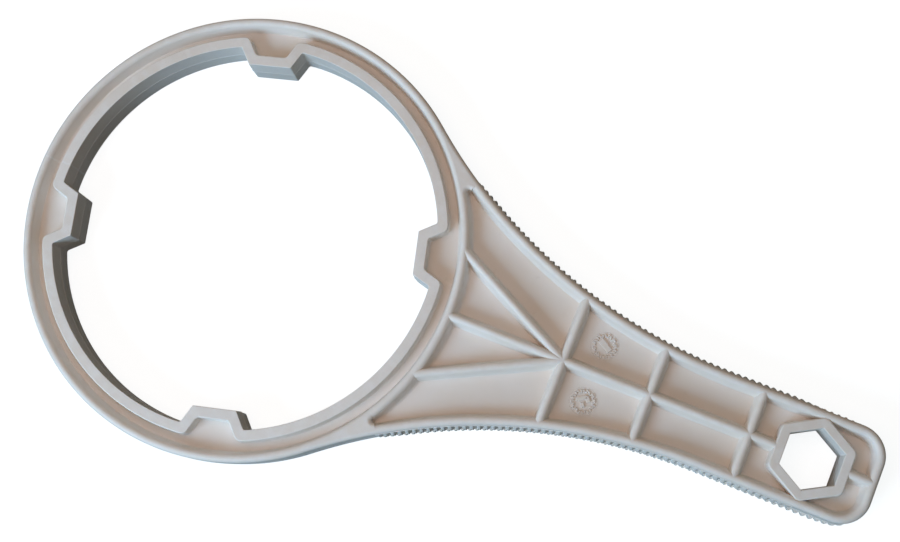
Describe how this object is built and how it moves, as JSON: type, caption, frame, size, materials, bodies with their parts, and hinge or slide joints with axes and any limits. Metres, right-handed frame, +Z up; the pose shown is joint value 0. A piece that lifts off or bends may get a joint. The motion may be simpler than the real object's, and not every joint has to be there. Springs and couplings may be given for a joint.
{
  "type": "filter housing wrench",
  "caption": "One-piece moulded plastic ring wrench with inward lugs for turning filter housing caps, a ribbed flared handle with toothed edges and a hexagon socket at its end",
  "frame": {"origin": "centre of the ring, on the plane the wrench lies on", "axes": "+X along the handle, +Y to the left of it, +Z up through the ring"},
  "size_m": [0.2668, 0.1376, 0.0124],
  "materials": {
    "moulded_plastic": "satin, as moulded"
  },
  "bodies": {
    "root": {"rim": "moulded_plastic", "ring_web": "moulded_plastic", "ring_wall_1": "moulded_plastic", "ring_wall_2": "moulded_plastic", "ring_wall_3": "moulded_plastic", "ring_wall_4": "moulded_plastic", "lug_1": "moulded_plastic", "lug_2": "moulded_plastic", "lug_3": "moulded_plastic", "lug_4": "moulded_plastic", "gusset_left": "moulded_plastic", "gusset_right": "moulded_plastic", "flare_left": "moulded_plastic", "flare_right": "moulded_plastic", "side_wall_left": "moulded_plastic", "side_wall_right": "moulded_plastic", "end_wall": "moulded_plastic", "handle_web": "moulded_plastic", "spine": "moulded_plastic", "end_rib": "moulded_plastic", "diagonal_rib_left": "moulded_plastic", "diagonal_rib_right": "moulded_plastic", "cross_rib_1_left": "moulded_plastic", "cross_rib_1_right": "moulded_plastic", "cross_rib_2_left": "moulded_plastic", "cross_rib_2_right": "moulded_plastic", "cross_rib_3_left": "moulded_plastic", "cross_rib_3_right": "moulded_plastic", "hex_socket": "moulded_plastic", "grip_front_left": "moulded_plastic", "grip_front_right": "moulded_plastic", "grip_back_left": "moulded_plastic", "grip_back_right": "moulded_plastic", "date_mark_left": "moulded_plastic", "date_mark_right": "moulded_plastic"}
  },
  "joints": []
}
